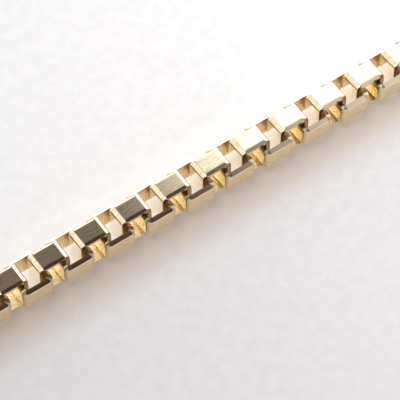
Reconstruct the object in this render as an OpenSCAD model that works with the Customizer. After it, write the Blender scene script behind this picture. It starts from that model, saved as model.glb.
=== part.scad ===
// Box chain necklace, lying as a closed oval loop on a flat surface.
// Every link is a short box-shaped ring bent from flat strip. Upright links, whose window looks
// across the chain, alternate with flat links, whose window looks up, and each end wall of one
// passes through the window of the next.

/* [Link] */
// Outer width of a link across the chain, which is also the height of the lying chain
link_side = 3; // [2.6:0.1:4]
// Outer length of a link along the chain
link_length = 2.42; // [2.2:0.02:3]
// Thickness of the strip that a link is bent from
strip_t = 0.3; // [0.2:0.01:0.34]
// Width of that strip
strip_w = 1.7; // [1.3:0.05:1.9]
// Inner radius of the four bends of a link
bend_r = 0.06; // [0.03:0.01:0.2]
// Free play between the end walls of two neighbouring links
play = 0.14; // [0.12:0.01:0.2]

/* [Loop] */
// Number of links, an odd number so that both ends of the chain are upright links
link_count = 235; // [121:2:247]
// Length of each of the two straight sides of the lying loop
straight = 60; // [30:1:80]

/* [Clasp] */
// Length of the closed barrel between its end faces
barrel_length = 8; // [6:0.5:14]
// Diameter of the barrel
barrel_d = 3; // [2.6:0.1:4]
// Radius that rounds the rims of the barrel
barrel_round = 0.6; // [0.2:0.1:1]
// Width of the seam groove round the middle of the barrel
seam_w = 0.3; // [0.2:0.05:0.8]
// Depth of that groove
seam_depth = 0.15; // [0.05:0.05:0.4]
// Diameter of the wire of the two eyes
eye_wire = 0.6; // [0.4:0.05:0.7]
// Distance from an end face of the barrel out to the middle of its eye
eye_reach = 0.9; // [0.8:0.05:1.2]

/* [Hidden] */
$fn = 32;

// Distance between the middles of neighbouring links when the chain is drawn out
pitch = link_length - 2 * strip_t - play;
// Links on each side of the middle one, which lies in the middle of the front side of the loop
half_count = (link_count - 1) / 2;

// An eye passes between the inner face of the end link and the wall of the link before it.
// Both faces are measured from the middle of the end link, toward the clasp.
inner_face = link_length / 2 - strip_t;
passed_wall = link_length / 2 - pitch;
// Smallest eye that clears both corners of the end wall that it goes round
room = inner_face - passed_wall - play - eye_wire / 2;
rim = eye_wire / 2 + play;
eye_r = (room * room + strip_w * strip_w / 4 - rim * rim) / (2 * (room - rim));
// Distance from the middle of the end link to the middle of the eye
eye_out = passed_wall + play + eye_r + eye_wire / 2;

// Length round the loop, along the middle of the chain and through the clasp
clasp_span = 2 * (eye_out + eye_reach) + barrel_length;
loop_length = (link_count - 1) * pitch + clasp_span;
arc_r = (loop_length - 2 * straight) / (2 * PI);
arc_length = PI * arc_r;

// Place [x, y, heading] on the right half of the oval, u along it from the middle of the front
function right_half(u) =
    u < straight / 2 ? [u, -arc_r, 0]
    : u < straight / 2 + arc_length
        ? let (turn = (u - straight / 2) / arc_r * 180 / PI)
          [straight / 2 + arc_r * sin(turn), -arc_r * cos(turn), turn]
        : [straight / 2 - (u - straight / 2 - arc_length), arc_r, 180];

// The same on the whole oval, with the left half mirrored from the right one
function place(u) =
    let (p = right_half(abs(u)))
    u < 0 ? [-p[0], p[1], -p[2]] : p;

// Rectangle with rounded corners, centred
module rounded(length, width, r) {
    square([length - 2 * r, width], center = true);
    square([length, width - 2 * r], center = true);
    for (x = [-1, 1], y = [-1, 1])
        translate([x * (length / 2 - r), y * (width / 2 - r)])
            circle(r);
}

// One link round the origin, with its window along Z and the chain along X
module link() {
    translate([0, 0, -strip_w / 2])
        linear_extrude(strip_w)
            difference() {
                rounded(link_length, link_side, bend_r + strip_t);
                rounded(link_length - 2 * strip_t, link_side - 2 * strip_t, bend_r);
            }
}

// Links first to last, counted from the middle one; the end links stand upright
module links(first, last) {
    for (i = [first : last]) {
        p = place(i * pitch);
        upright = (abs(i) + half_count) % 2 == 0;
        translate([p[0], p[1], link_side / 2])
            rotate([0, 0, p[2]])
                rotate([upright ? 90 : 0, 0, 0])
                    link();
    }
}

module chain_left() {
    color("gold") links(-half_count, -1);
}

module chain_right() {
    color("gold") links(0, half_count);
}

// Half of the barrel's outline, to be turned round its axis
module barrel_profile() {
    difference() {
        intersection() {
            rounded(barrel_d, barrel_length, barrel_round);
            translate([0, -barrel_length / 2]) square([barrel_d / 2, barrel_length]);
        }
        translate([barrel_d / 2 - seam_depth, -seam_w / 2]) square([seam_depth + 1, seam_w]);
    }
}

// Closed barrel with a fixed eye at each end, round which the end links hang
module clasp() {
    color("gold")
        translate([0, arc_r, link_side / 2]) {
            rotate([0, 90, 0])
                rotate_extrude()
                    barrel_profile();
            for (side = [-1, 1])
                translate([side * (barrel_length / 2 + eye_reach), 0, 0])
                    rotate_extrude()
                        translate([eye_r, 0]) circle(d = eye_wire);
        }
}

chain_left();
chain_right();
clasp();
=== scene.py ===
"""Gold box chain necklace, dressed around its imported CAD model.

The necklace lies as a closed oval loop on a pale cloth. The chain is two joined meshes of box-shaped
links bent from flat strip, and the clasp is a turned barrel with an eye at each end. The sizes of the
chain, the clasp, the cloth's reach and the camera are in millimetres and become metres where a mesh or
the camera is made. The finishes give their own sizes in metres.
"""

import logging
import math
from dataclasses import dataclass, field
from enum import Enum
from typing import ClassVar

import bpy
import numpy as np
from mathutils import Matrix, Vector


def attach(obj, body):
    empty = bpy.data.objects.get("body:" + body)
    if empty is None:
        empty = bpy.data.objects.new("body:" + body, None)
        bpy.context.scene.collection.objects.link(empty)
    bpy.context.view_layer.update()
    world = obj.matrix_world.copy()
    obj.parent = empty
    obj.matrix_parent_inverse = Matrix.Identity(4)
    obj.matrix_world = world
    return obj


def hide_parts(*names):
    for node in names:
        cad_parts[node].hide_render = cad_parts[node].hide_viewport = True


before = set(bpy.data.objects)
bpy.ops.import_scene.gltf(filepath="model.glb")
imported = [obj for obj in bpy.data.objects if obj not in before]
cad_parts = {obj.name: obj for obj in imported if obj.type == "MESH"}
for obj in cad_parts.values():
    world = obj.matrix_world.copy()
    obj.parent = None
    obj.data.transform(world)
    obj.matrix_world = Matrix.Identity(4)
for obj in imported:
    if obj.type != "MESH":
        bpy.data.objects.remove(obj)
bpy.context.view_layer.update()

MM = 0.001
BODY = "root"
log = logging.getLogger("box_chain")

Triple = tuple[float, float, float]
Pair = tuple[float, float]
Socket = bpy.types.NodeSocket


class Lie(Enum):
    """How a link lies in the chain."""

    UPRIGHT = "window across the chain"
    FLAT = "window up"


class Half(Enum):
    """The two halves of the chain, by the names of their CAD nodes."""

    LEFT = "chain_left"
    RIGHT = "chain_right"


@dataclass(frozen=True)
class Grain:
    """A noise pattern: its scale on each axis, its octaves and how strong the finer ones are."""

    scale: Triple
    detail: float
    rough: float


class Bench:
    """A node tree with short calls for the nodes that the finishes use."""

    def __init__(self, tree: bpy.types.NodeTree) -> None:
        """Empties the tree.

        Args:
            tree: The node tree of a material or of the world.
        """
        self.tree = tree
        tree.nodes.clear()

    def node(self, kind: str, **settings: object) -> bpy.types.Node:
        """Adds a node.

        Args:
            kind: Blender's type name of the node.
            settings: Properties to set on it.

        Returns:
            The new node.
        """
        made = self.tree.nodes.new(kind)
        for name, value in settings.items():
            setattr(made, name, value)
        return made

    def feed(self, socket: Socket, value: object) -> None:
        """Links or sets one input.

        Args:
            socket: The input.
            value: Another node's output, or the constant to set.
        """
        if isinstance(value, bpy.types.NodeSocket):
            self.tree.links.new(value, socket)
        else:
            socket.default_value = value

    def math(self, operation: str, *values: object) -> Socket:
        """Adds a math node.

        Args:
            operation: Its operation.
            values: Its inputs, in order.

        Returns:
            The result.
        """
        made = self.node("ShaderNodeMath", operation=operation)
        for place, value in enumerate(values):
            self.feed(made.inputs[place], value)
        return made.outputs[0]

    def product(self, first: object, *others: object) -> Socket:
        """Multiplies numbers.

        Args:
            first: The first factor.
            others: The other factors.

        Returns:
            Their product.
        """
        result = first
        for factor in others:
            result = self.math("MULTIPLY", result, factor)
        return result

    def step(self, value: object, limits: Pair, results: Pair = (0.0, 1.0)) -> Socket:
        """Adds a smooth step.

        Args:
            value: What is mapped.
            limits: Where the step starts and ends. A falling step starts above its end.
            results: The result before the step and the one after it.

        Returns:
            The result.
        """
        made = self.node("ShaderNodeMapRange", interpolation_type="SMOOTHSTEP")
        if limits[0] > limits[1]:
            limits, results = limits[::-1], results[::-1]
        for place, number in enumerate((value, *limits, *results)):
            self.feed(made.inputs[place], number)
        return made.outputs[0]

    def mix(self, share: object, first: object, second: object) -> Socket:
        """Adds a colour mix.

        Args:
            share: Share of the second colour.
            first: First colour, as three numbers or a node's output.
            second: Second colour, likewise.

        Returns:
            The mixed colour.
        """
        made = self.node("ShaderNodeMix", data_type="RGBA")
        self.feed(made.inputs[0], share)
        for place, color in ((6, first), (7, second)):
            self.feed(made.inputs[place], color if isinstance(color, bpy.types.NodeSocket) else (*color, 1.0))
        return made.outputs[2]

    def scaled(self, vector: Socket, share: object) -> Socket:
        """Scales a vector or a colour by one number.

        Args:
            vector: What is scaled.
            share: The factor.

        Returns:
            The scaled vector.
        """
        made = self.node("ShaderNodeVectorMath", operation="SCALE")
        self.feed(made.inputs[0], vector)
        self.feed(made.inputs["Scale"], share)
        return made.outputs[0]

    def noise(self, vector: Socket, grain: Grain) -> Socket:
        """Adds a noise texture.

        Args:
            vector: Where it is read.
            grain: Its pattern.

        Returns:
            The noise from 0 to 1.
        """
        spread = self.node("ShaderNodeVectorMath", operation="MULTIPLY")
        self.feed(spread.inputs[0], vector)
        self.feed(spread.inputs[1], grain.scale)
        made = self.node("ShaderNodeTexNoise")
        self.feed(made.inputs["Vector"], spread.outputs[0])
        self.feed(made.inputs["Scale"], 1.0)
        self.feed(made.inputs["Detail"], grain.detail)
        self.feed(made.inputs["Roughness"], grain.rough)
        return made.outputs["Fac"]

    def bump(self, height: Socket, depth: float, strength: object = 1.0,
             under: Socket | None = None) -> Socket:
        """Adds a bump.

        Args:
            height: Height from 0 to 1.
            depth: What a height of 1 is, in metres.
            strength: How much of it shows.
            under: Normal of another bump that this one lies on.

        Returns:
            The bent normal.
        """
        made = self.node("ShaderNodeBump")
        self.feed(made.inputs["Strength"], strength)
        self.feed(made.inputs["Distance"], depth)
        self.feed(made.inputs["Height"], height)
        if under is not None:
            self.feed(made.inputs["Normal"], under)
        return made.outputs[0]


def new_material(name: str) -> tuple[bpy.types.Material, Bench, bpy.types.Node]:
    """Makes a material with one Principled shader.

    Args:
        name: Name of the material.

    Returns:
        The material, its bench and the shader node.
    """
    material = bpy.data.materials.new(name)
    material.use_nodes = True
    bench = Bench(material.node_tree)
    shader = bench.node("ShaderNodeBsdfPrincipled")
    output = bench.node("ShaderNodeOutputMaterial")
    bench.feed(output.inputs["Surface"], shader.outputs[0])
    return material, bench, shader


def grey(level: float) -> Triple:
    """Gives the neutral colour of one level."""
    return (level, level, level)


@dataclass(frozen=True)
class LinkGold:
    """Polished yellow gold of the links: finely brushed faces, satin cut edges, tool marks inside.

    The streaks darken the brushed faces, and the spots are the deeper gold between the tool marks.
    """

    color: Triple = (0.95, 0.82, 0.562)
    stain_color: Triple = (0.73, 0.63, 0.44)
    cut_color: Triple = (0.73, 0.62, 0.46)
    # Painted shade: a dark brown that stands in for dark reflections on cut edges.
    painted_shade_color: Triple = (0.38, 0.31, 0.25)
    # Painted light: a pale gold that stands in for highlights and brightly lit places.
    painted_light_color: Triple = (1.0, 0.96, 0.82)
    deep_color: Triple = (1.0, 0.83, 0.55)
    mark_color: Triple = (0.56, 0.27, 0.09)
    polished: float = 0.03
    brushed: float = 0.10
    cut_rough: float = 0.07
    inner_rough: float = 0.22
    closed_rough: float = 0.08
    brush_depth: float = 0.0004 * MM
    mark_depth: float = 0.014 * MM
    lines_across: Grain = Grain((14.0, 0.8, 1.0), 3.0, 0.6)
    lines_along: Grain = Grain((0.6, 12.0, 1.0), 2.0, 0.5)
    streaks: Grain = Grain((1.6, 11.0, 1.0), 3.0, 0.6)
    spots: Grain = Grain((15.0, 9.0, 1.0), 2.0, 0.6)
    tool_marks: Grain = Grain((9.0, 2.2, 1.0), 2.0, 0.55)
    streak_limits: Pair = (0.44, 0.66)
    spot_limits: Pair = (0.51, 0.61)

    def build(self) -> bpy.types.Material:
        """Makes the material.

        Returns:
            A material that reads the strip's own coordinates and the links' attributes.
        """
        material, bench, shader = new_material("link_gold")
        strip = bench.node("ShaderNodeUVMap", uv_map="strip").outputs[0]
        inside, cut, closed, painted_shade, painted_light = (
            bench.node("ShaderNodeAttribute", attribute_name=name).outputs["Fac"]
            for name in MeshParts.LABELS)

        along = bench.noise(strip, self.lines_along)
        rough = bench.math("MULTIPLY_ADD", along, self.brushed - self.polished, self.polished)
        for share, rougher in ((cut, self.cut_rough), (inside, self.inner_rough),
                               (closed, self.closed_rough)):
            rough = bench.math("MULTIPLY_ADD", share, rougher - self.polished, rough)
        bench.feed(shader.inputs["Roughness"], rough)

        streaks = bench.step(bench.noise(strip, self.streaks), self.streak_limits)
        color = bench.mix(streaks, self.color, self.stain_color)
        spots = bench.step(bench.noise(strip, self.spots), self.spot_limits)
        color = bench.mix(inside, color, bench.mix(spots, self.deep_color, self.mark_color))
        color = bench.mix(cut, color, self.cut_color)
        # Painted light: paler gold on end walls, lower rims and some cut edges.
        color = bench.mix(painted_light, color, self.painted_light_color)
        # Painted shade: dark brown on cut edges where dark reflections would be.
        bench.feed(shader.inputs["Base Color"], bench.mix(painted_shade, color, self.painted_shade_color))
        bench.feed(shader.inputs["Metallic"], 1.0)

        normal = bench.bump(bench.noise(strip, self.lines_across), self.brush_depth)
        normal = bench.bump(along, self.brush_depth, under=normal)
        normal = bench.bump(bench.noise(strip, self.tool_marks), self.mark_depth, inside, normal)
        bench.feed(shader.inputs["Normal"], normal)
        return material


@dataclass(frozen=True)
class ClaspGold:
    """Plain polished gold of the clasp, turned on a lathe."""

    color: Triple = (0.92, 0.79, 0.54)
    polished: float = 0.10
    turned: float = 0.18
    line_depth: float = 0.0012 * MM
    lines: Grain = Grain((9000.0, 300.0, 300.0), 3.0, 0.6)
    cloud: Grain = Grain((700.0, 700.0, 700.0), 2.0, 0.5)

    def build(self) -> bpy.types.Material:
        """Makes the material.

        Returns:
            A material with fine lines round the barrel's axis.
        """
        material, bench, shader = new_material("clasp_gold")
        place = bench.node("ShaderNodeTexCoord").outputs["Object"]
        cloud = bench.noise(place, self.cloud)
        rough = bench.math("MULTIPLY_ADD", cloud, self.turned - self.polished, self.polished)
        bench.feed(shader.inputs["Base Color"], (*self.color, 1.0))
        bench.feed(shader.inputs["Metallic"], 1.0)
        bench.feed(shader.inputs["Roughness"], rough)
        bench.feed(shader.inputs["Normal"], bench.bump(bench.noise(place, self.lines), self.line_depth))
        return material


@dataclass(frozen=True)
class PaleCloth:
    """White, finely fibrous cloth that glows, as painted light standing in for a light table under it.

    Its tone follows the loop, with light and shade painted into it: pale inside it, with painted light
    close to the chain and, pinkish, in the links' windows, and on the outer side darker, with a painted
    shadow under the chain and then a painted shadow warmed by a painted reflection of the gold. It is
    also painted darker to the left and farther outside the loop. Each zone is given by its distances
    outside the chain's line, which are negative inside the loop.
    """

    color: Triple = (0.758, 0.753, 0.755)
    # Painted light (halo and windows), painted shadow (under), painted shade (outer) and a painted shadow
    # warmed by painted gold reflection (warm):
    painted_halo_light_color: Triple = (0.825, 0.795, 0.778)
    painted_slot_light_color: Triple = (0.99, 0.91, 0.87)
    painted_shadow_color: Triple = (0.55, 0.46, 0.40)
    painted_outer_shade_color: Triple = (0.645, 0.632, 0.638)
    painted_warm_shadow_color: Triple = (0.543, 0.466, 0.403)
    painted_halo_light_zone: Pair = (-5.5 * MM, -2.6 * MM)
    painted_slot_light_zone: Pair = (-2.4 * MM, -2.1 * MM)
    painted_shadow_zone: Pair = (0.1 * MM, 0.3 * MM)
    outer_zone: Pair = (0.45 * MM, 0.7 * MM)
    painted_warm_shadow_fade: Pair = (5.2 * MM, 1.4 * MM)
    # Painted shade: darker to the left and farther outside the loop.
    painted_left_shade_fade: Pair = (-70 * MM, 45 * MM)
    painted_left_shade_tones: Pair = (0.55, 1.0)
    painted_outer_shade_fade: Pair = (0.0, 150 * MM)
    painted_outer_shade_tones: Pair = (1.0, 0.72)
    glow: float = 0.62
    shade: float = 0.55
    cloud: Grain = Grain((1100.0, 1100.0, 1100.0), 3.0, 0.55)
    cloud_limits: Pair = (0.3, 0.7)
    cloud_tones: Pair = (0.972, 1.028)
    fibres: Grain = Grain((9000.0, 5200.0, 9000.0), 3.0, 0.6)
    fibre_depth: float = 0.006 * MM
    rough: float = 0.9
    loop_straight: float = 30.0 * MM
    loop_radius: float = 45.468 * MM

    def from_loop(self, bench: Bench, place: Socket) -> tuple[Socket, Socket]:
        """Measures where a point of the cloth lies.

        Args:
            bench: The material's bench.
            place: The point.

        Returns:
            Its place along the loop's straight sides, and its distance outside the chain's line.
        """
        apart = bench.node("ShaderNodeSeparateXYZ")
        bench.feed(apart.inputs[0], place)
        along, across = apart.outputs[:2]
        past = bench.math("SUBTRACT", bench.math("ABSOLUTE", along), self.loop_straight)
        past = bench.math("MAXIMUM", past, 0.0)
        squares = bench.math("ADD", bench.product(past, past), bench.product(across, across))
        return along, bench.math("SUBTRACT", bench.math("SQRT", squares), self.loop_radius)

    def build(self) -> bpy.types.Material:
        """Makes the material.

        Returns:
            A rough white material with fine fibres, whose tone follows the loop with painted light and shade.
        """
        material, bench, shader = new_material("pale_cloth")
        place = bench.node("ShaderNodeTexCoord").outputs["Object"]
        along, outside = self.from_loop(bench, place)

        color: object = self.color
        # Painted light close to the chain and, pinkish, in the windows; a painted shadow under the chain;
        # painted shade outside it.
        for zone, zone_color in ((self.painted_halo_light_zone, self.painted_halo_light_color), (self.painted_slot_light_zone, self.painted_slot_light_color),
                                 (self.painted_shadow_zone, self.painted_shadow_color),
                                 (self.outer_zone, self.painted_outer_shade_color)):
            color = bench.mix(bench.step(outside, zone), color, zone_color)
        # A painted shadow, warmed by a painted reflection of the gold, on the outer side near the chain.
        painted_warm_shadow = bench.product(bench.step(outside, self.outer_zone), bench.step(outside, self.painted_warm_shadow_fade))
        color = bench.mix(painted_warm_shadow, color, self.painted_warm_shadow_color)

        # Random cloud tone, times painted shade that darkens to the left and farther outside the loop.
        tone = bench.product(bench.step(bench.noise(place, self.cloud), self.cloud_limits, self.cloud_tones),
                             bench.step(along, self.painted_left_shade_fade, self.painted_left_shade_tones),
                             bench.step(outside, self.painted_outer_shade_fade, self.painted_outer_shade_tones))
        glowing = bench.scaled(color, tone)
        bench.feed(shader.inputs["Base Color"], bench.scaled(glowing, self.shade))
        # The glow is painted light standing in for a light table, and it carries the painted light and shade
        # of the tone too.
        bench.feed(shader.inputs["Emission Color"], glowing)
        bench.feed(shader.inputs["Emission Strength"], self.glow)
        bench.feed(shader.inputs["Roughness"], self.rough)
        bench.feed(shader.inputs["Normal"], bench.bump(bench.noise(place, self.fibres), self.fibre_depth))
        return material


def grid_skin(rows: int, around: int, closed: bool,
              along: np.ndarray, across: np.ndarray) -> tuple[np.ndarray, np.ndarray]:
    """Joins rings of points into a skin.

    Args:
        rows: Number of rings.
        around: Number of points in each ring.
        closed: Joins the last ring to the first.
        along: Surface coordinate of each ring, and of the first one again at the end.
        across: Surface coordinate of each point of a ring, and of the first one again at the end.

    Returns:
        Faces of four point numbers, and the surface coordinates of each face's four corners.
    """
    faces, strip = [], []
    for j in range(rows if closed else rows - 1):
        for k in range(around):
            corners = ((j, k), (j + 1, k), (j + 1, k + 1), (j, k + 1))
            faces.append([a % rows * around + b % around for a, b in corners])
            strip.append([(along[a], across[b]) for a, b in corners])
    return np.array(faces), np.array(strip).reshape(-1, 2)


@dataclass
class MeshParts:
    """Corner points, faces and attributes of a mesh that is joined from repeated pieces."""

    # The last two labels mark painted shade and painted light on the gold.
    LABELS: ClassVar[tuple[str, ...]] = ("inside", "cut", "closed", "painted_shade", "painted_light")

    points: list[np.ndarray] = field(default_factory=list)
    normals: list[np.ndarray] = field(default_factory=list)
    faces: list[np.ndarray] = field(default_factory=list)
    strip: list[np.ndarray] = field(default_factory=list)
    marks: list[np.ndarray] = field(default_factory=list)
    count: int = 0

    def add(self, points: np.ndarray, normals: np.ndarray, faces: np.ndarray,
            strip: np.ndarray, marks: np.ndarray) -> None:
        """Adds one piece.

        Args:
            points: Its points, in millimetres.
            normals: A unit normal for each point.
            faces: Four point numbers a face, counted from the piece's first point.
            strip: Surface coordinates of each face's four corners.
            marks: For each point, how far it is on the inner side, on a cut edge, on the outer face of
                a bend or of a wall that passes through a link, under painted shade on a cut edge of
                those, and under painted light, each from 0 to 1.
        """
        self.points.append(points)
        self.normals.append(normals)
        self.faces.append(faces + self.count)
        self.strip.append(strip)
        self.marks.append(marks)
        self.count += len(points)

    def build(self, name: str, material: bpy.types.Material) -> bpy.types.Object:
        """Makes the joined object.

        Args:
            name: Name of the object.
            material: Its one material.

        Returns:
            The object, linked to the scene, in metres.
        """
        faces = np.concatenate(self.faces)
        mesh = bpy.data.meshes.new(name)
        mesh.from_pydata((np.concatenate(self.points) * MM).tolist(), [], faces.tolist())
        layer = mesh.uv_layers.new(name="strip")
        layer.data.foreach_set("uv", np.concatenate(self.strip).astype(np.float32).ravel())
        for label, values in zip(self.LABELS, np.concatenate(self.marks).T):
            marked = mesh.attributes.new(label, "FLOAT", "POINT")
            marked.data.foreach_set("value", np.ascontiguousarray(values, dtype=np.float32))
        mesh.polygons.foreach_set("use_smooth", np.ones(len(faces), dtype=bool))
        mesh.update()
        mesh.normals_split_custom_set_from_vertices(np.concatenate(self.normals).tolist())
        mesh.materials.append(material)
        made = bpy.data.objects.new(name, mesh)
        bpy.context.scene.collection.objects.link(made)
        return made


@dataclass
class Strip:
    """The flat strip that every link is bent from.

    Its outer face is crowned a little. On the walls that lie open, a shallow and a steep facet lead to
    each cut edge, which leans outward and ends in the sharp rim of the inner face. In the bends and on
    the walls that pass through the next link, the facets are narrow. Each facet is given by how deep
    and how wide it is. The finish of the inner side sets in over the last part of the thickness, which
    is 1 in inner_steep of it.
    """

    thick: float = 0.350
    width: float = 1.7
    open_facets: tuple[Pair, ...] = ((0.020, 0.085), (0.160, 0.12))
    bend_facets: tuple[Pair, ...] = ((0.003, 0.010), (0.012, 0.012))
    open_lean: float = 0.026
    bend_lean: float = 0.052
    crown_half: float = 0.35
    crown_slope: float = 0.04
    crown_steps: int = 2
    corner: float = 0.004
    inner_round: float = 0.015
    inner_steep: float = 20.0

    def edge(self, openness: float, lean: float) -> list[tuple[Pair, Pair, float]]:
        """Works out half of the section, from the outer face's middle to the inner face's.

        Args:
            openness: 1 on a wall that lies open, 0 in a bend or on a wall that passes through a link.
            lean: How much of the bend's lean the cut edge has there, from 0 to 1.

        Returns:
            Points as (depth below the outer face, place across), each with its outward normal and how
            far it is on the cut edge, from 0 to 1.
        """
        facets = [tuple(low + (high - low) * openness for low, high in zip(narrow, wide))
                  for narrow, wide in zip(self.bend_facets, self.open_facets)]
        edge_lean = self.open_lean * openness + self.bend_lean * lean * (1 - openness)
        start = self.width / 2 - edge_lean - sum(wide for _, wide in facets)
        reach = start - self.crown_half
        depth = self.crown_slope * reach / 2
        made: list[tuple[Pair, Pair, float]] = [((0.0, 0.0), (-1.0, 0.0), 0.0)]
        for k in range(self.crown_steps + 1):
            share = k / self.crown_steps
            across = self.crown_half + (reach - self.corner) * share
            slope = self.crown_slope * share
            size = math.hypot(1.0, slope)
            made.append(((depth * share ** 2, across), (-1 / size, slope / size), 0.0))

        stops = [(depth, start)]
        for deep, wide in facets:
            stops.append((stops[-1][0] + deep, stops[-1][1] + wide))
        stops.append((self.thick - self.inner_round, self.width / 2))
        for number, (first, last) in enumerate(zip(stops, stops[1:])):
            run = (last[0] - first[0], last[1] - first[1])
            size = math.hypot(*run)
            run = (run[0] / size, run[1] / size)
            face = (-run[1], run[0])
            cut = 1.0 - openness if number == 0 else 1.0
            for way in (self.corner, size - (self.corner if number < len(facets) else 0.0)):
                made.append(((first[0] + run[0] * way, first[1] + run[1] * way), face, cut))
        made.append(((self.thick, self.width / 2 - self.inner_round), (1.0, 0.0), 0.0))
        made.append(((self.thick, 0.0), (1.0, 0.0), 0.0))
        return made

    def section(self, openness: float, lean: float) -> tuple[np.ndarray, ...]:
        """Mirrors the half section.

        Args:
            openness: As for edge.
            lean: As for edge.

        Returns:
            Points as (depth below the outer face, place across), their outward normals, how far each
            one is on the inner side, and how far it is on a cut edge.
        """
        half = self.edge(openness, lean)
        other = [((depth, -across), (down, -side), cut)
                 for (depth, across), (down, side), cut in half[-2:0:-1]]
        points, normals, cut = (np.array(column) for column in zip(*half, *other))
        inner = np.clip(points[:, 0] / self.thick * self.inner_steep - (self.inner_steep - 1), 0, 1)
        return points, normals, inner, cut


@dataclass
class BoxLink:
    """One link: a box-shaped ring bent from the strip.

    It lies round the origin with its window along Z and the chain along X. A painted shade or a
    painted light is how much of that colour a place takes, from 0 to 1: the painted shade is a dark
    reflection painted on cut edges, and the painted light is a highlight painted on end walls, lower
    rims and cut edges. The two leg shades are those of the walls at the ends of an upright link, first
    the left one's. A place faces along the chain, or down, where its normal's share in that direction
    is past ALONG or DOWN.
    """

    ALONG: ClassVar[float] = 0.99
    DOWN: ClassVar[float] = -0.9

    length: float = 2.42
    side: float = 3.0
    bend: float = 0.36
    bend_segments: int = 6
    wall_stops: tuple[float, ...] = (0.0, 0.05, 0.95)
    # Painted shade, a dark reflection, on the cut edges of flat links and of upright links' legs:
    flat_painted_shade: float = 0.8
    corner_painted_shade: float = 0.62
    leg_painted_shades: Pair = (0.0, 0.75)
    # Painted light on the end walls:
    end_painted_light: float = 0.6
    strip: Strip = field(default_factory=Strip)

    def ring(self) -> tuple[np.ndarray, np.ndarray, np.ndarray]:
        """Works out the outer line of the ring.

        Returns:
            Points in the ring's plane, their outward normals, and how open each one lies.
        """
        points: list[Pair] = []
        normals: list[Pair] = []
        openness: list[float] = []
        middle = (self.length / 2 - self.bend, self.side / 2 - self.bend)
        corners = [(sx * middle[0], sy * middle[1]) for sx, sy in ((1, 1), (-1, 1), (-1, -1), (1, -1))]
        for number, (cx, cy) in enumerate(corners):
            nx, ny = corners[(number + 1) % len(corners)]
            for k in range(self.bend_segments):
                turn = math.pi / 2 * (number + k / self.bend_segments)
                normal = (math.cos(turn), math.sin(turn))
                points.append((cx + self.bend * normal[0], cy + self.bend * normal[1]))
                normals.append(normal)
                openness.append(0.0)
            turn = math.pi / 2 * (number + 1)
            normal = (math.cos(turn), math.sin(turn))
            for share in self.wall_stops:
                points.append((cx + (nx - cx) * share + self.bend * normal[0],
                               cy + (ny - cy) * share + self.bend * normal[1]))
                normals.append(normal)
                openness.append(1.0 if share > 0 and abs(normal[1]) > abs(normal[0]) else 0.0)
        return np.array(points), np.array(normals), np.array(openness)

    def marks(self, line: np.ndarray, out: np.ndarray, openness: np.ndarray, section: np.ndarray,
              inner: np.ndarray, cut: np.ndarray) -> dict[Lie, np.ndarray]:
        """Works out where the finish changes, and where shade and light are painted.

        Args:
            line: The ring's line, one row a station.
            out: Its outward normals.
            openness: How open each station lies.
            section: The strip's section at each station.
            inner: How far each point is on the inner side.
            cut: How far each point is on a cut edge.

        Returns:
            The marks of each lie, as MeshParts.add takes them.
        """
        x, y = line[:, :1], line[:, 1:]
        out_x, out_y = out[:, :1], out[:, 1:]
        across = section[:, :, 1]
        closed = 1 - openness[:, None]
        shown = across > 0
        front = closed * cut * shown

        # Painted shade on the near cut edges of upright links, set for each leg.
        legs = np.select([out_x < -self.ALONG, out_x > self.ALONG], self.leg_painted_shades, 1.0)
        # Painted light on the lower rims and on the end walls.
        low_rim = np.maximum(inner, cut) * (out_y < self.DOWN) * (across > self.strip.width / 4)
        ends = closed * (1 - cut) * (1 - inner) * (np.abs(out_x) > self.ALONG) * self.end_painted_light
        # Painted shade on flat links' near cut edges and on their far-left corner.
        far_corner = closed * (y > 0) * (x < 0)
        flat = np.where(y < 0, self.flat_painted_shade, far_corner * self.corner_painted_shade)
        # On flat links the painted light is on the upper far cut edges and on all lower cut edges.
        painted_shade_and_light = {Lie.UPRIGHT: (front * (y > 0) * legs, np.maximum(low_rim, ends)),
                         Lie.FLAT: (front * flat, cut * np.where(shown, y > 0, 1.0))}
        return {lie: np.stack([inner, cut, closed * (1 - cut), *shares], 2)
                .reshape(-1, len(MeshParts.LABELS)) for lie, shares in painted_shade_and_light.items()}

    def parts(self) -> tuple[np.ndarray, np.ndarray, np.ndarray, np.ndarray, dict[Lie, np.ndarray]]:
        """Sweeps the strip's section round the ring.

        Returns:
            Points, normals, faces and surface coordinates, as MeshParts.add takes them, and the marks of
            each lie.
        """
        line, out, openness = self.ring()
        leans = np.where(out[:, 1] < 0, np.abs(out[:, 1]) ** 3, 1.0)
        sections = [self.strip.section(*station) for station in zip(openness, leans)]
        section, lean, inner, cut = (np.stack(column) for column in zip(*sections))
        stations, around = cut.shape
        points = np.zeros((stations, around, 3))
        normals = np.zeros((stations, around, 3))
        points[:, :, :2] = line[:, None] - section[:, :, :1] * out[:, None]
        points[:, :, 2] = section[:, :, 1]
        normals[:, :, :2] = -lean[:, :, :1] * out[:, None]
        normals[:, :, 2] = lean[:, :, 1]

        steps = [np.linalg.norm(np.roll(rows, -1, 0) - rows, axis=1) for rows in (line, section[0])]
        along, across = (np.concatenate([[0.0], np.cumsum(lengths)]) for lengths in steps)
        faces, strip = grid_skin(stations, around, True, along, across)
        return (points.reshape(-1, 3), normals.reshape(-1, 3), faces, strip,
                self.marks(line, out, openness, section, inner, cut))


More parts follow.
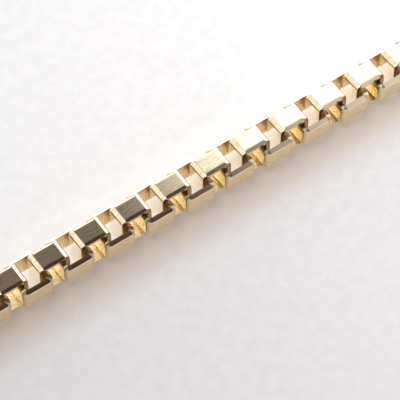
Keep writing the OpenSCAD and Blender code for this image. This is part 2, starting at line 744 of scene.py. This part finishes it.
@dataclass
class OvalLoop:
    """The line that the chain lies along: two straight sides and two half circles."""

    straight: float = 60.0
    pitch: float = 1.68
    end_link: int = 117
    clasp_span: float = 12.565

    @property
    def arc_radius(self) -> float:
        """Radius of the two half circles."""
        return (2 * self.end_link * self.pitch + self.clasp_span - 2 * self.straight) / (2 * math.pi)

    def place(self, number: int) -> Triple:
        """Finds a link's place.

        Args:
            number: Link number, counted from the middle of the front side.

        Returns:
            x and y of the link's middle, and its heading in radians.
        """
        radius, half = self.arc_radius, self.straight / 2
        run = abs(number) * self.pitch
        arc = math.pi * radius
        if run < half:
            x, y, turn = run, -radius, 0.0
        elif run < half + arc:
            turn = (run - half) / radius
            x, y = half + radius * math.sin(turn), -radius * math.cos(turn)
        else:
            x, y, turn = half - (run - half - arc), radius, math.pi
        return (x, y, turn) if number >= 0 else (-x, y, -turn)


def turned(points: np.ndarray, axis: int, angle: float) -> np.ndarray:
    """Turns points or normals about one of the three axes.

    Args:
        points: One row a point.
        axis: 0, 1 or 2 for X, Y or Z.
        angle: Angle in radians.

    Returns:
        The turned rows.
    """
    a, b = [(1, 2), (2, 0), (0, 1)][axis]
    made = points.copy()
    made[:, a] = points[:, a] * math.cos(angle) - points[:, b] * math.sin(angle)
    made[:, b] = points[:, a] * math.sin(angle) + points[:, b] * math.cos(angle)
    return made


@dataclass
class BoxChain:
    """The whole chain, in the two halves that the CAD model has.

    Each link is turned a little by chance, about the chain and about the upright line. The roll and
    the yaw are the usual size of that, and most_turns is how many times as far it may go. Each link
    also starts at its own place in the gold's patterns, up to strip_length along and across them.
    """

    loop: OvalLoop = field(default_factory=OvalLoop)
    link: BoxLink = field(default_factory=BoxLink)
    roll: float = math.radians(0.35)
    yaw: float = math.radians(0.08)
    most_turns: float = 2.0
    strip_length: float = 40.0
    seed: int = 7

    def lie(self, number: int) -> Lie:
        """Tells how a link lies; the two end links stand upright."""
        return Lie.UPRIGHT if (abs(number) + self.loop.end_link) % 2 == 0 else Lie.FLAT

    def half(self, half: Half, material: bpy.types.Material) -> bpy.types.Object:
        """Builds one half of the chain.

        Args:
            half: Which half.
            material: The links' gold.

        Returns:
            One joined mesh that stands for the CAD node of that half.
        """
        end = self.loop.end_link
        numbers = range(-end, 0) if half is Half.LEFT else range(0, end + 1)
        chance = np.random.default_rng(self.seed + len(half.value))
        points, normals, faces, strip, marks = self.link.parts()
        joined = MeshParts()
        for number in numbers:
            x, y, heading = self.loop.place(number)
            turns = chance.normal(0.0, 1.0, 2).clip(-self.most_turns, self.most_turns)
            lie = self.lie(number)
            stand = math.pi / 2 if lie is Lie.UPRIGHT else 0.0
            moved = []
            for rows in (points, normals):
                rows = turned(rows, 0, stand + turns[0] * self.roll)
                moved.append(turned(rows, 2, heading + turns[1] * self.yaw))
            shift = chance.uniform(0.0, self.strip_length, 2)
            joined.add(moved[0] + (x, y, self.link.side / 2), moved[1], faces, strip + shift, marks[lie])
        made = joined.build(half.value + "_links", material)
        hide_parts(half.value)
        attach(made, BODY)
        log.info("%s: %d links, %d faces", made.name, len(numbers), len(made.data.polygons))
        return made


@dataclass
class BarrelClasp:
    """Closed barrel clasp with a fixed eye at each end.

    The seam round its middle has softened rims and leaning sides, and each flat end of the barrel has
    a ring of points at cap_share of its radius.
    """

    length: float = 8.0
    diameter: float = 3.0
    rim: float = 0.6
    rim_segments: int = 8
    cap_share: float = 0.6
    seam_width: float = 0.3
    seam_depth: float = 0.15
    seam_soft: float = 0.06
    seam_bevel: float = 0.3
    seam_lean: float = 0.6
    eye_radius: float = 1.4125
    eye_wire: float = 0.6
    eye_reach: float = 0.9
    segments: int = 72
    wire_segments: int = 24
    skin_cell: float = 0.1

    def outline(self) -> np.ndarray:
        """Works out half of the barrel's outline.

        Returns:
            Points as (place along the axis, radius), from one end's middle to the other's.
        """
        half, radius = self.length / 2, self.diameter / 2
        turns = [math.pi / 2 * k / self.rim_segments for k in range(self.rim_segments + 1)]
        rim = [(half - self.rim + self.rim * math.cos(turn), radius - self.rim + self.rim * math.sin(turn))
               for turn in turns]
        seam_half, soft = self.seam_width / 2, self.seam_soft
        seam = [(seam_half + soft, radius),
                (seam_half + soft * self.seam_bevel, radius - soft * self.seam_bevel),
                (seam_half, radius - soft),
                (seam_half - soft * self.seam_lean, radius - self.seam_depth)]
        right = [(half, 0.0), (half, (radius - self.rim) * self.cap_share)] + rim + seam
        return np.array(right + [(-x, r) for x, r in reversed(right)])

    @staticmethod
    def circle(segments: int) -> np.ndarray:
        """Gives the points of a circle of radius 1, one row a point."""
        turns = np.linspace(0, 2 * math.pi, segments, endpoint=False)
        return np.stack([np.cos(turns), np.sin(turns)], 1)

    def barrel(self, joined: MeshParts) -> None:
        """Turns the outline round the clasp's axis.

        Args:
            joined: The mesh that the barrel goes to.
        """
        outline = self.outline()
        slope = np.gradient(outline, axis=0)
        lean = np.stack([slope[:, 1], -slope[:, 0]], 1)
        lean /= np.linalg.norm(lean, axis=1)[:, None]
        ring = self.circle(self.segments)
        points, normals = (
            np.concatenate([np.repeat(rows[:, None, :1], self.segments, 1),
                            rows[:, None, 1:] * ring[None]], 2)
            for rows in (outline, lean))
        self.weave(joined, points, normals, closed=False)

    def eye(self, joined: MeshParts, side: int) -> None:
        """Bends the wire into the eye at one end.

        Args:
            joined: The mesh that the eye goes to.
            side: -1 or 1 for the left or the right end.
        """
        ring, wire = self.circle(self.segments), self.circle(self.wire_segments)
        bent = wire * (self.eye_wire / 2) + (self.eye_radius, 0.0)
        points, normals = (
            np.concatenate([rows[None, :, :1] * ring[:, None],
                            np.repeat(rows[None, :, 1:], self.segments, 0)], 2)
            for rows in (bent, wire))
        points[:, :, 0] += side * (self.length / 2 + self.eye_reach)
        self.weave(joined, points, normals, closed=True)

    def weave(self, joined: MeshParts, points: np.ndarray, normals: np.ndarray, closed: bool) -> None:
        """Adds a grid of points as a skin.

        Args:
            joined: The mesh that it goes to.
            points: Rows of rings of points.
            normals: Their normals.
            closed: Joins the last ring to the first.
        """
        rows, around = points.shape[:2]
        faces, strip = grid_skin(rows, around, closed, np.arange(rows + 1) * self.skin_cell,
                                 np.arange(around + 1) * self.skin_cell)
        joined.add(points.reshape(-1, 3), normals.reshape(-1, 3), faces, strip,
                   np.zeros((rows * around, len(MeshParts.LABELS))))

    def build(self, loop: OvalLoop, height: float, material: bpy.types.Material) -> bpy.types.Object:
        """Builds the clasp.

        Args:
            loop: The chain's line, whose far side it closes.
            height: Height of its axis above the cloth.
            material: Its gold.

        Returns:
            One mesh of the barrel and its two eyes.
        """
        joined = MeshParts()
        self.barrel(joined)
        for side in (-1, 1):
            self.eye(joined, side)
        joined.points = [rows + (0.0, loop.arc_radius, height) for rows in joined.points]
        made = joined.build("clasp_barrel", material)
        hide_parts("clasp")
        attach(made, BODY)
        log.info("%s: %d faces", made.name, len(made.data.polygons))
        return made


@dataclass
class ClothTable:
    """The pale cloth under the necklace, a round flat stage."""

    reach: float = 3000.0
    rings: tuple[float, ...] = (0.02, 0.1, 0.4, 1.0)
    sides: int = 64

    def build(self, material: bpy.types.Material) -> bpy.types.Object:
        """Builds the cloth.

        Args:
            material: Its finish.

        Returns:
            The stage.
        """
        sides = self.sides
        turns = [2 * math.pi * k / sides for k in range(sides)]
        points = [(0.0, 0.0, 0.0)]
        for ring in self.rings:
            radius = ring * self.reach * MM
            points += [(radius * math.cos(turn), radius * math.sin(turn), 0.0) for turn in turns]
        faces: list[tuple[int, ...]] = [(0, 1 + k, 1 + (k + 1) % sides) for k in range(sides)]
        for ring_number in range(1, len(self.rings)):
            inner, outer = 1 + (ring_number - 1) * sides, 1 + ring_number * sides
            for k in range(sides):
                k2 = (k + 1) % sides
                faces.append((inner + k, outer + k, outer + k2, inner + k2))
        mesh = bpy.data.meshes.new("cloth_table")
        mesh.from_pydata(points, [], faces)
        mesh.materials.append(material)
        made = bpy.data.objects.new("cloth_table", mesh)
        bpy.context.scene.collection.objects.link(made)
        log.info("%s: %d faces", made.name, len(made.data.polygons))
        return made


@dataclass
class StudioLight:
    """Soft light of the studio, as bright and dark fields of the sky round the table.

    The fields are given by the parts of a direction: its share to the right (X), its share away from
    the front side (Y), and its share up (Z). A pair of limits is where a field starts and where it is
    full. From front to back lie the near fields, the plate fields and the far field. The lamp is
    overhead, a little to the left.
    """

    seen_behind: Triple = (0.85, 0.85, 0.86)
    near_dark: Triple = (0.083, 0.044, 0.034)
    near_light: Triple = (0.98, 0.94, 0.85)
    near_edge: Pair = (0.322, 0.402)
    slant_from: float = 0.20
    slant_rate: float = 1.5
    near_left: Triple = (0.15, 0.11, 0.085)
    near_left_right: Pair = (0.12, 0.0)
    near_low: float = 0.8
    near_low_up: Pair = (0.40, 0.26)
    near_low_right: Pair = (0.16, 0.06)
    near_low_left: Pair = (-0.42, -0.30)
    near_high: float = 2.0
    near_high_right: Pair = (0.06, -0.04)
    near_high_up: Pair = (0.60, 0.70)
    side_right: Pair = (0.60, 0.75)
    side_away: Pair = (-0.60, -0.30)

    window: float = 2.4
    window_rim: float = 0.9
    window_away: Pair = (0.36, 0.43)
    plate_grey: Triple = (0.192, 0.168, 0.160)
    plate_edge: Pair = (0.286, 0.392)
    plate_away: Pair = (0.30, 0.37)
    left_field: float = 1.05
    left_field_right: Pair = (0.215, 0.155)

    lamp: float = 6.0
    lamp_right: Pair = (0.01, -0.07)
    lamp_left: Pair = (-0.45, -0.37)
    lamp_near: Pair = (-0.18, -0.10)
    lamp_far: Pair = (0.40, 0.34)
    far_field: float = 1.8
    far_away: Pair = (0.53, 0.61)

    def near(self, bench: Bench, right: Socket, away: Socket, up: Socket) -> Socket:
        """Paints the fields toward the front.

        Args:
            bench: The world's bench.
            right: A direction's share to the right.
            away: Its share away from the front side.
            up: Its share up.

        Returns:
            Their colour.
        """
        slant = bench.math("MAXIMUM", bench.math("SUBTRACT", away, self.slant_from), 0.0)
        edge = bench.math("ADD", right, bench.product(slant, self.slant_rate))
        color = bench.mix(bench.step(edge, self.near_edge), self.near_dark, self.near_light)
        color = bench.mix(bench.step(right, self.near_left_right), color, self.near_left)
        low = bench.product(bench.step(up, self.near_low_up), bench.step(right, self.near_low_right),
                            bench.step(right, self.near_low_left))
        color = bench.mix(low, color, grey(self.near_low))
        high = bench.product(bench.step(right, self.near_high_right), bench.step(up, self.near_high_up))
        color = bench.mix(high, color, grey(self.near_high))
        side = bench.product(bench.step(right, self.side_right), bench.step(away, self.side_away))
        return bench.mix(side, color, grey(self.window))

    def plate(self, bench: Bench, right: Socket, away: Socket) -> Socket:
        """Paints the fields that the upper faces of the links reflect.

        Args:
            bench: The world's bench.
            right: A direction's share to the right.
            away: Its share away from the front side.

        Returns:
            Their colour.
        """
        window = bench.step(away, self.window_away, (self.window_rim, self.window))
        color = bench.mix(bench.step(right, self.plate_edge), self.plate_grey, window)
        return bench.mix(bench.step(right, self.left_field_right), color, grey(self.left_field))

    def build(self) -> None:
        """Makes the world."""
        world = bpy.data.worlds.new("studio")
        bpy.context.scene.world = world
        world.use_nodes = True
        bench = Bench(world.node_tree)
        apart = bench.node("ShaderNodeSeparateXYZ")
        bench.feed(apart.inputs[0], bench.node("ShaderNodeTexCoord").outputs["Generated"])
        right, away, up = apart.outputs

        base = bench.mix(bench.step(away, self.plate_away), self.near(bench, right, away, up),
                         self.plate(bench, right, away))
        lamp = bench.product(bench.step(right, self.lamp_right), bench.step(right, self.lamp_left),
                             bench.step(away, self.lamp_near), bench.step(away, self.lamp_far))
        base = bench.mix(lamp, base, grey(self.lamp))
        base = bench.mix(bench.step(away, self.far_away), base, grey(self.far_field))

        seen = bench.node("ShaderNodeLightPath").outputs["Is Camera Ray"]
        sky = bench.node("ShaderNodeBackground")
        bench.feed(sky.inputs["Color"], bench.mix(seen, base, self.seen_behind))
        output = bench.node("ShaderNodeOutputWorld")
        bench.feed(output.inputs["Surface"], sky.outputs[0])
        bpy.context.scene.view_settings.view_transform = "Standard"
        log.info("studio light: %d nodes", len(world.node_tree.nodes))


@dataclass
class CloseUpCamera:
    """The macro camera of the photograph."""

    target: Triple = (-0.165, -46.863, 1.5)
    azimuth: float = -125.07
    elevation: float = 55.86
    distance: float = 158.6
    focal_pixels: float = 2280.0
    picture_pixels: float = 400.0
    sensor_width: float = 36.0
    clip_metres: Pair = (0.01, 20.0)

    def build(self) -> bpy.types.Object:
        """Makes the camera.

        Returns:
            The camera, which is now the scene's own.
        """
        data = bpy.data.cameras.new("close_up")
        data.sensor_width = self.sensor_width
        data.lens = self.focal_pixels / self.picture_pixels * self.sensor_width
        data.clip_start, data.clip_end = self.clip_metres
        made = bpy.data.objects.new("close_up", data)
        bpy.context.scene.collection.objects.link(made)
        turn, rise = math.radians(self.azimuth), math.radians(self.elevation)
        back = Vector((math.cos(rise) * math.cos(turn), math.cos(rise) * math.sin(turn), math.sin(rise)))
        made.location = (Vector(self.target) + back * self.distance) * MM
        made.rotation_mode = "QUATERNION"
        made.rotation_quaternion = (-back).to_track_quat("-Z", "Y")
        bpy.context.scene.camera = made
        log.info("%s: %.0f mm lens", made.name, data.lens)
        return made


def main() -> None:
    """Builds the camera, the light, the table and the necklace, in that order."""
    logging.basicConfig(level=logging.INFO, format="%(name)s: %(message)s")
    CloseUpCamera().build()
    StudioLight().build()
    ClothTable().build(PaleCloth().build())

    chain = BoxChain()
    gold = LinkGold().build()
    for half in Half:
        chain.half(half, gold)
    BarrelClasp().build(chain.loop, chain.link.side / 2, ClaspGold().build())


if __name__ == "__main__":
    main()
